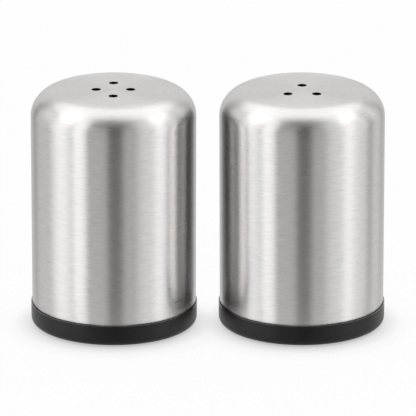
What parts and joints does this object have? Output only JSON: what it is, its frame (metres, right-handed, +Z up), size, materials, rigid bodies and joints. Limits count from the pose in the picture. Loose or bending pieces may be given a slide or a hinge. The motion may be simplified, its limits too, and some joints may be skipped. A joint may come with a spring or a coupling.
{
  "type": "spice shaker set",
  "caption": "Matched domed brushed-steel table shakers; each canister pours through holes in its top and unscrews from a black base cap with a seal ring and foot pad for filling.",
  "frame": {"origin": "on the surface that both shakers stand on, midway between their two axes", "axes": "+Z up along the shakers' axes; +X from the four-hole shaker to the three-hole shaker; -Y towards the person who faces them"},
  "size_m": [0.1072, 0.0504, 0.0739],
  "materials": {
    "brushed_steel": "stainless steel with a fine brushing that runs round the wall and the dome",
    "base_plastic": "matte black moulded plastic",
    "collar_plastic": "satin black moulded plastic",
    "seal_silicone": "milky silicone",
    "pad_rubber": "matte dark rubber"
  },
  "bodies": {
    "left_base": {"left_base_cap": "base_plastic", "left_foot_pad": "pad_rubber"},
    "left_seal": {"left_seal_ring": "seal_silicone"},
    "left_canister": {"left_shell": "brushed_steel", "left_threaded_collar": "collar_plastic"},
    "right_base": {"right_base_cap": "base_plastic", "right_foot_pad": "pad_rubber"},
    "right_seal": {"right_seal_ring": "seal_silicone"},
    "right_canister": {"right_shell": "brushed_steel", "right_threaded_collar": "collar_plastic"}
  },
  "joints": [
    {"name": "left_canister_rise", "type": "slide", "parent": "left_base", "child": "left_seal", "axis": [0, 0, 1], "range_m": [0, 0.008]},
    {"name": "left_canister_turn", "type": "hinge", "parent": "left_seal", "child": "left_canister", "pos_m": [-0.02845, 0, 0], "axis": [0, 0, 1], "range_deg": [0, 360]},
    {"name": "right_shaker_lift", "type": "slide", "parent": "left_base", "child": "right_base", "axis": [0, 0, 1], "range_m": [0, 0.12]},
    {"name": "right_canister_rise", "type": "slide", "parent": "right_base", "child": "right_seal", "axis": [0, 0, 1], "range_m": [0, 0.008]},
    {"name": "right_canister_turn", "type": "hinge", "parent": "right_seal", "child": "right_canister", "pos_m": [0.02845, 0, 0], "axis": [0, 0, 1], "range_deg": [0, 360]}
  ],
  "couplings": [
    {"joint": "left_canister_rise", "follows": "left_canister_turn", "m_per_rad": 0.0012732},
    {"joint": "right_canister_rise", "follows": "right_canister_turn", "m_per_rad": 0.0012732}
  ]
}
